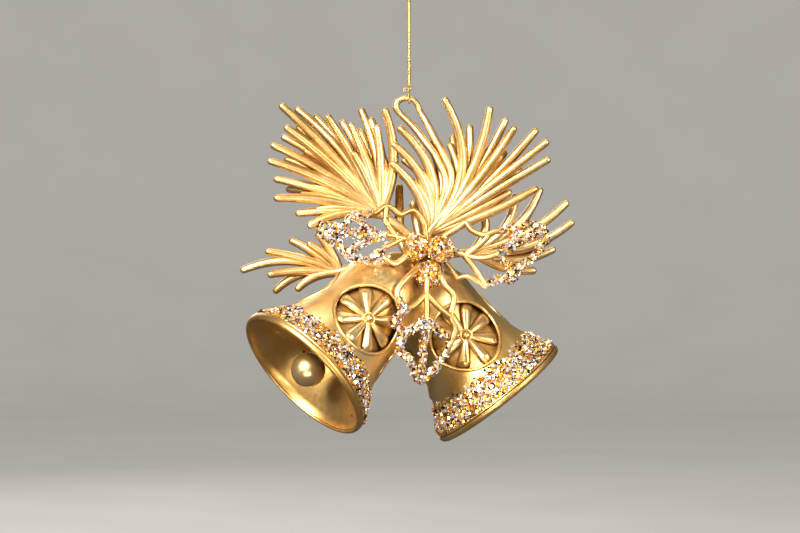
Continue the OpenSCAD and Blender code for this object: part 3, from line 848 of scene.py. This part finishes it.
def make_berry(node, mid, seed):
    chance = random.Random(seed)
    shape = Shape()
    bare = node == "berry_left"
    way = (HUB_FRONT - mid).normalized()
    shape.add(*ball(mid, BERRY_R - 0.15, 40), 5 if bare else 0)
    shape.add(*tube([mid + way * 3, mid + way * (HUB_FRONT - mid).length], [STALK_R] * 2, 14), 5)
    for i in range(BERRY_FLAKES):
        z = 1 - 2 * (i + 0.5) / BERRY_FLAKES
        a = pi * (3 - sqrt(5)) * i
        out = Vector((sqrt(1 - z * z) * cos(a), sqrt(1 - z * z) * sin(a), z))
        out = (out + Vector([chance.gauss(0, 0.06) for _ in range(3)])).normalized()
        if out.dot(way) > 0.93 or bare and out.dot(BARE_PATCH) > 0.62:
            continue
        add_flake(shape, chance, mid + out * (BERRY_R - 0.1 + chance.uniform(0, 0.45)), out,
                  GOLDEN)
    shape.piece(f"{node}_glittered", [BED] + FLAKES + [LEAF_GOLD], "ornament", node, "glitter",
                30)


# --- Pine sprays --------------------------------------------------------------------------

NEEDLE_R = 1.4


def needle_point(root, needle, t):
    """A place along a needle: [angle, length, bow, tip depth], as the frame's own needles."""
    angle, length, bow, depth = needle
    way = Vector((cos(radians(angle)), 0, sin(radians(angle))))
    left = Vector((-way.z, 0, way.x))
    return Vector(root) + length * t * way + bow * 4 * t * (1 - t) * left + Vector(
        (0, depth * t * t, 0))


def add_needle(shape, root, needle, thick=1.0):
    """A moulded needle: a little flat, widest past its middle, round at its tip, and with the
    fine line of the mould along both sides."""
    steps = 18
    path = [needle_point(root, needle, i / steps) for i in range(steps + 1)]
    radii = [NEEDLE_R * thick * (0.88 + 0.3 * sin(pi * (0.15 + 0.85 * i / steps)))
             for i in range(steps + 1)]
    shape.add(*tube(path, radii, 18, False, 0.88, 1.09))


UPPER_LEFT_ROOT = (-10.5, -5, -103)
UPPER_LEFT = [(132, 52, -1.5, -2), (128, 48, -3, 3), (118, 39, -1, -4), (108, 33, -1, -5),
              (100, 38, -2.5, 4), (92, 31, -1, -1), (87, 37, -4, -2), (137, 45, -1.5, -5),
              (141, 44, -2.5, 1), (147, 45, -2, -3), (154, 43, -2, -6), (161, 39, -1.5, 0),
              (171, 37, -2, -4), (179, 29, -1, -1), (-171, 25, -2.5, -3), (123, 42, -2, 7),
              (112, 36, -2, 6), (133, 43, -2, 8), (149, 39, -2, 7), (164, 34, -1.5, 6),
              (103, 31, -2, 8), (95, 34, -2.5, 3)]
UPPER_LEFT_STEM = [(6, -5, -116), (-3, -5, -108), (-12, -5, -101), (-20, -5, -94)]
UPPER_RIGHT_ROOT = (7, -5, -110)
UPPER_RIGHT = [(105, 39, -6.5, -1), (111, 34, -5, -2), (117, 28, -3, -3), (83, 48, -9, -3),
               (69, 41, -4.5, 2), (64, 49.5, -4, -3), (56, 49, -2, 1), (51, 48, -1.5, -4),
               (44, 53, -1.5, 0), (38, 53, 0, -3), (32, 50, 0.5, -1), (23, 41.5, -1.5, 2),
               (99, 33, -5, 5), (90, 33, -5, 6), (76, 36, -4, 7), (60, 38, -2, 8),
               (47, 40, -1, 7), (35, 40, 0, 6)]
UPPER_RIGHT_STEM = [(6, -5, -116), (7, -5, -110), (12, -5, -103)]
LOWER_RIGHT_ROOT = (23, 2, -116)
LOWER_RIGHT = [(42, 33, -4, 4), (27, 38, -3, 2), (16, 37, -4, 0), (1, 29, -3.5, 2),
               (-18, 23, -2, 1), (52, 25, -4, 0), (72, 14, -2, 1), (35, 26, -3, 6),
               (8, 28, -3, 6)]
LOWER_RIGHT_STEM = [(5, -2, -116), (14, 0, -117), (24, 2, -116), (32, 2, -114)]
LOWER_LEFT_ROOT = (-25, 5, -124)
LOWER_LEFT = [(178, 35, -4, 0), (163, 27, -1, -2), (146, 21, -1, 2), (136, 15, -1, -2),
              (119, 16, -1, 0), (-179, 25, -1, -3), (-165, 24, -3.5, 1), (-160, 16, -2, -2)]
LOWER_LEFT_STEM = [(1, 1, -118), (-12, 4, -119), (-24, 5, -123), (-33, 5, -124)]
EYE_PATH = [(3.7, 0, EYE_BAR_Z - 4.2), (3.1, 0, EYE_BAR_Z - 2.5), (2, 0, EYE_BAR_Z - 1),
            (0.7, 0, EYE_BAR_Z - 0.1), (-0.7, 0, EYE_BAR_Z + 0.1), (-2.3, 0, EYE_BAR_Z - 0.1),
            (-3.8, 0, EYE_BAR_Z - 0.9), (-4.7, 0, EYE_BAR_Z - 2.2), (-4.6, 0, EYE_BAR_Z - 3.7),
            (-3.6, 0, EYE_BAR_Z - 5.1)]
EYE_SWELL = [1.1, 1, 1, 1, 1, 1.1, 1.2, 1.25, 1.25, 1.2]
EYE_LEGS = [[UPPER_RIGHT_ROOT, (13, -5, -93), (10, -4, -83), (7, -3, -78.4), (2.2, -1, -72),
             EYE_PATH[-1]],
            [UPPER_RIGHT_ROOT, (15, -5, -92), (12.5, -4, -82), (9.4, -2.5, -76), (6.4, -1, -70),
             EYE_PATH[0]]]
LEG_RADII = [1, 1.3, 1.4, 1.4, 1.3, 1.1]
BACK_NEEDLES = [[(-3.5, 3, -112), (-3.5, 4, -104), (-3.5, 3, -93)],
                [(4, 2, -112), (2.5, 4, -104), (1.5, 1, -99)],
                [(-3.5, 3, -112), (0, 0.5, -117), (4, 2, -112)]]
BACK_RADII = [[1.6, 1.7, 1.4], [1.6, 1.7, 1.4], [1.5, 1.6, 1.5]]
FILLING = (0.66, 0.82)       # a filling needle's length, as a share of its neighbours'
FILLING_GAP = 20             # degrees between neighbours past which no needle is added


def add_rod(shape, points, radii, sides=14, steps=8):
    line = spline(points, steps)
    shape.add(*tube(line, blend_list(radii, len(line)), sides))


def add_filling(shape, root, needles, seed):
    """Shorter needles behind and between the long ones, which close a fan's middle."""
    chance = random.Random(seed)
    front = sorted(needle for needle in needles if needle[3] < 5)
    for a, b in zip(front, front[1:]):
        if b[0] - a[0] > FILLING_GAP:
            continue
        length = min(a[1], b[1]) * chance.uniform(*FILLING)
        add_needle(shape, root, ((a[0] + b[0]) / 2, length, (a[2] + b[2]) / 2,
                                 (a[3] + b[3]) / 2 + chance.uniform(1, 3)), 1.05)


# Name, root, needles, stem, the stem's radii, the filling's seed, and the rods of the eye
SPRAYS = [("upper_left", UPPER_LEFT_ROOT, UPPER_LEFT, UPPER_LEFT_STEM, [1.8, 1.8, 1.6, 1.2],
           SEED, []),
          ("upper_right", UPPER_RIGHT_ROOT, UPPER_RIGHT, UPPER_RIGHT_STEM, [1.9, 1.8, 1.4],
           SEED + 1, EYE_LEGS),
          ("lower_left", LOWER_LEFT_ROOT, LOWER_LEFT, LOWER_LEFT_STEM, [1.4, 1.4, 1.6, 1.3],
           None, []),
          ("lower_right", LOWER_RIGHT_ROOT, LOWER_RIGHT, LOWER_RIGHT_STEM, [1.6, 1.5, 1.5, 1.2],
           None, [])]


def make_sprays():
    for name, root, needles, stem, radii, seed, legs in SPRAYS:
        shape = Shape()
        for needle in needles:
            add_needle(shape, root, needle)
        if seed:
            add_filling(shape, root, needles, seed)
        for leg in legs:
            add_rod(shape, leg, LEG_RADII, 16)
        add_rod(shape, stem, radii)
        shape.piece(f"{name}_needles", [NEEDLE_GOLD], "ornament", f"pine_spray_{name}",
                    "needles", 60)
    shape = Shape()
    for path, radii in zip(BACK_NEEDLES, BACK_RADII):
        add_rod(shape, path, radii)
    shape.piece("back_needles", [NEEDLE_GOLD], "ornament", "pine_needles_back", "needles", 60)
    shape = Shape()
    add_rod(shape, EYE_PATH, [EYE_BAR_R * swell for swell in EYE_SWELL], 20)
    shape.piece("eye_bar", [NEEDLE_GOLD], "ornament", "hanging_eye", "needles", 60)


# --- Holly leaves -------------------------------------------------------------------------

ROD_R = 1.12
PUSH = 1.4              # how far a wider waist pushes the leaves out
PRICKLE_ANGLE = radians(28)
PRICKLE_PULL = 0.16
LEAF_FLAKES = 11        # tries for each millimetre of rod
LEAF_LEFT = {
    "outline": [(6, -112), (5, -106), (1.5, -102), (-3, -103.5), (-8, -100.5), (-13, -103.5),
                (-19, -104), (-24, -108), (-31, -107.5), (-28, -112.5), (-25, -113),
                (-21, -118), (-14.5, -119.5), (-9.5, -118), (-5, -120.5), (-1, -118),
                (3, -115)],
    "veins": [[(3, -113), (-9, -110.5), (-29, -109.5)], [(-4, -112), (-8, -106), (-8, -101)],
              [(-12, -110.5), (-16, -107), (-18, -104.5)], [(-3, -112), (-10, -116), (-13, -119)],
              [(-11, -111), (-18, -114), (-21, -117.5)]],
    "mid": (-12, -111), "front": -1.15 - PUSH * WAIST_R, "lean": 0.25, "curl": 0}
LEAF_RIGHT = {
    "outline": [(12.5, -111), (20, -106), (22.5, -109), (27, -110.5), (31.5, -109),
                (38.5, -108.5), (43, -106.5), (48, -108), (48.5, -111), (46, -116),
                (43.5, -119), (39, -122), (36.5, -126.5), (31, -126), (27, -128.5),
                (21, -125), (17, -125.5), (13, -120)],
    "veins": [[(9, -116), (14, -116), (25, -118.5), (34, -116), (47, -109)],
              [(20, -117.5), (26, -113), (28, -110.5)], [(19, -117), (23, -122), (27, -128)],
              [(31, -117.5), (36, -113.5), (38, -109)], [(32, -117.5), (35, -121), (36.5, -126)]],
    "mid": (30, -117), "front": -13.2, "lean": 0, "curl": 0}
LEAF_BOTTOM = {
    "outline": [(4, -121), (-4, -129.5), (-2, -136.5), (-5, -140.5), (-2, -144.5),
                (-3.5, -151), (-0.5, -153), (3.5, -161.5), (9, -157), (13, -151), (16, -144),
                (14.5, -139), (15.5, -132), (12, -127.5), (10, -121)],
    "veins": [[(6.5, -124), (6, -131), (6, -140), (4, -160)], [(6, -131), (2, -135), (-1.5, -136.5)],
              [(6, -131), (10, -135.5), (14, -139)], [(5.5, -140), (2, -143), (-2, -145)],
              [(5.5, -140), (9, -143), (14, -147)]],
    "mid": (6, -140), "front": -3.05 - PUSH * WAIST_R, "lean": 0.35, "curl": -127}


def leaf_point(leaf, p):
    """The depth of a leaf at a place: it leans, is domed, and turns back above its curl."""
    dx, dz = p[0] - leaf["mid"][0], p[1] - leaf["mid"][1]
    curl = max(0, p[1] - leaf["curl"])
    depth = leaf["front"] + leaf["lean"] * dx + (dx * dx + dz * dz) / 100 + 0.1 * curl * curl
    return Vector((p[0], depth, p[1]))


def prickly(corners):
    """A leaf's edge: pointed where it turns sharply outwards, and smooth scallops between."""
    edge = []
    for i, (x, z) in enumerate(corners):
        before, after = corners[i - 1], corners[(i + 1) % len(corners)]
        into = Vector((x - before[0], z - before[1]))
        out = Vector((after[0] - x, after[1] - z))
        pointed = into.x * out.y - into.y * out.x < 0 and into.angle(out) > PRICKLE_ANGLE
        if pointed:
            edge.append((x - into.x * PRICKLE_PULL, 0, z - into.y * PRICKLE_PULL))
        edge.append((x, 0, z))
        if pointed:
            edge.append((x + out.x * PRICKLE_PULL, 0, z + out.y * PRICKLE_PULL))
    return spline(edge + edge[:1], 6)[:-1]


def make_leaf(node, leaf, seed, glittered):
    """Openwork rods with loose flakes where glittered says so."""
    chance = random.Random(seed)
    shape = Shape()
    edge = [leaf_point(leaf, (p.x, p.z)) for p in prickly(leaf["outline"])]
    shape.add(*tube(edge, [ROD_R] * len(edge), 16, True, 0.85, 1.06))
    lines = [edge + edge[:1]]
    for vein in leaf["veins"]:
        line = [leaf_point(leaf, (p.x, p.z)) for p in spline([(x, 0, z) for x, z in vein], 8)]
        shape.add(*tube(line, [ROD_R * 0.9] * len(line), 16, False, 0.85, 1.06))
        lines.append(line)
    for line in lines:
        for a, b in zip(line, line[1:]):
            way = (b - a).normalized()
            wanted = (b - a).length * LEAF_FLAKES
            for _ in range(int(wanted) + (chance.random() < wanted % 1)):
                mid = a.lerp(b, chance.random())
                if chance.random() > glittered(mid.x, mid.z):
                    continue
                out = Vector([chance.gauss(0, 1) for _ in range(3)])
                out.y -= 0.7
                out = (out - way * out.dot(way)).normalized()
                add_flake(shape, chance, mid + out * (ROD_R + chance.uniform(-0.1, 0.6)), out,
                          SILVERY)
    shape.piece(f"{node}_openwork", [LEAF_GOLD] + FLAKES, "ornament", node, "leaf", 45)


def step(value, low, high):
    return min(1, max(0, (value - low) / (high - low)))


def make_leaves():
    make_leaf("holly_leaf_left", LEAF_LEFT, SEED + 11,
              lambda x, z: max(step(-x, 7, 11) * step(-z, 103, 107), step(-x, 14, 20)))
    make_leaf("holly_leaf_right", LEAF_RIGHT, SEED + 12,
              lambda x, z: max(step(x, 30, 37), step(x, 26, 30) * step(-z, 120, 124),
                               step(17.5 - x, 0, 1) * step(3.5 - abs(z + 116), 0, 1)))
    make_leaf("holly_leaf_bottom", LEAF_BOTTOM, SEED + 13,
              lambda x, z: max(step(-z, 137, 143) * step(14.5 - x, 0, 4),
                               step(-z, 131, 136) * step(1 - x, 0, 2)))


# --- Hub ----------------------------------------------------------------------------------


def make_hub():
    """The moulded core that holds the sprays, the leaves and the bells' pegs."""
    shape = Shape()
    shape.add(*tube([(-5, 4.5, -120), (5, -4, -120)], [4, 4], 32))
    shape.add(*tube([(5, -4, -120), HUB_FRONT], [4, 4.8], 32))
    for place in (LEFT, RIGHT):
        ends = [place @ Vector((0, 0, BELL_H + way)) for way in (-PEG_DOWN, PEG_UP)]
        shape.add(*tube(ends, [CROWN_HOLE_R - FIT] * 2, 32))
    hub = shape.piece("hub_core", [HUB_SHADED_GOLD], "ornament", "hub", "hub")
    blend = hub.modifiers.new("blend", "REMESH")
    blend.mode, blend.voxel_size, blend.use_smooth_shade = "VOXEL", 0.35 * MM, True
    soften = hub.modifiers.new("soften", "SMOOTH")
    soften.iterations = 6
    hub.data = bpy.data.meshes.new_from_object(
        hub.evaluated_get(bpy.context.evaluated_depsgraph_get()))
    hub.modifiers.clear()


FLOOR_Z, FLOOR_R, BEND_R, WALL_TOP = -270, 1500, 700, 2600


def make_stage():
    """A seamless grey paper floor that curves up into a wall all round. The faces that would
    close its outline from the wall's top to the floor's middle are left out."""
    segments = 96
    profile = [(0, FLOOR_Z), (900, FLOOR_Z)] + [
        (FLOOR_R + BEND_R * sin(radians(a)), FLOOR_Z + BEND_R * (1 - cos(radians(a))))
        for a in range(0, 91, 6)] + [(FLOOR_R + BEND_R, WALL_TOP)]
    verts, faces = lathe(profile, segments)
    faces = [face for face in faces if max(face) - min(face) < segments * 3]
    paper = matt_paper("studio_paper", "#8f8c87", "#979490")
    floor = add_piece("floor", verts, faces, [paper], None)
    floor.visible_glossy = False


# --- Everything ---------------------------------------------------------------------------

make_camera()
make_cord()
make_hitch()
make_lights()
make_shell("left", LEFT, LEFT_TURN)
make_shell("right", RIGHT, RIGHT_TURN, LEFT)
make_cup("left", LEFT)
make_cup("right", RIGHT, LEFT)
for side, place, turn in (("left", LEFT, LEFT_TURN), ("right", RIGHT, RIGHT_TURN)):
    make_clapper(side, place)
    upper, lower = (240, 120) if side == "left" else (120, 240)
    make_rosette(f"{side}_rosette_front", place, turn)
    make_rosette(f"{side}_rosette_upper", place, turn + upper)
    make_rosette(f"{side}_rosette_lower", place, turn + lower)
make_band("left", LEFT, SEED + 2, MIXED)
make_band("right", RIGHT, SEED + 3, COOL)
for i, (node, way) in enumerate(BERRY_WAYS.items()):
    make_berry(node, BERRY_MID + Vector(way) * (BERRY_R + BERRY_GAP / 2), SEED + 5 + i)
make_sprays()
make_leaves()
make_strays("left_cup_strays", LEFT, SEED + 20,
            [(9, 2.6), (13, 1.9), (6, 1.2), (17, 0.6), (5, 0.2), (10, 3.4)])
make_hub()
make_stage()
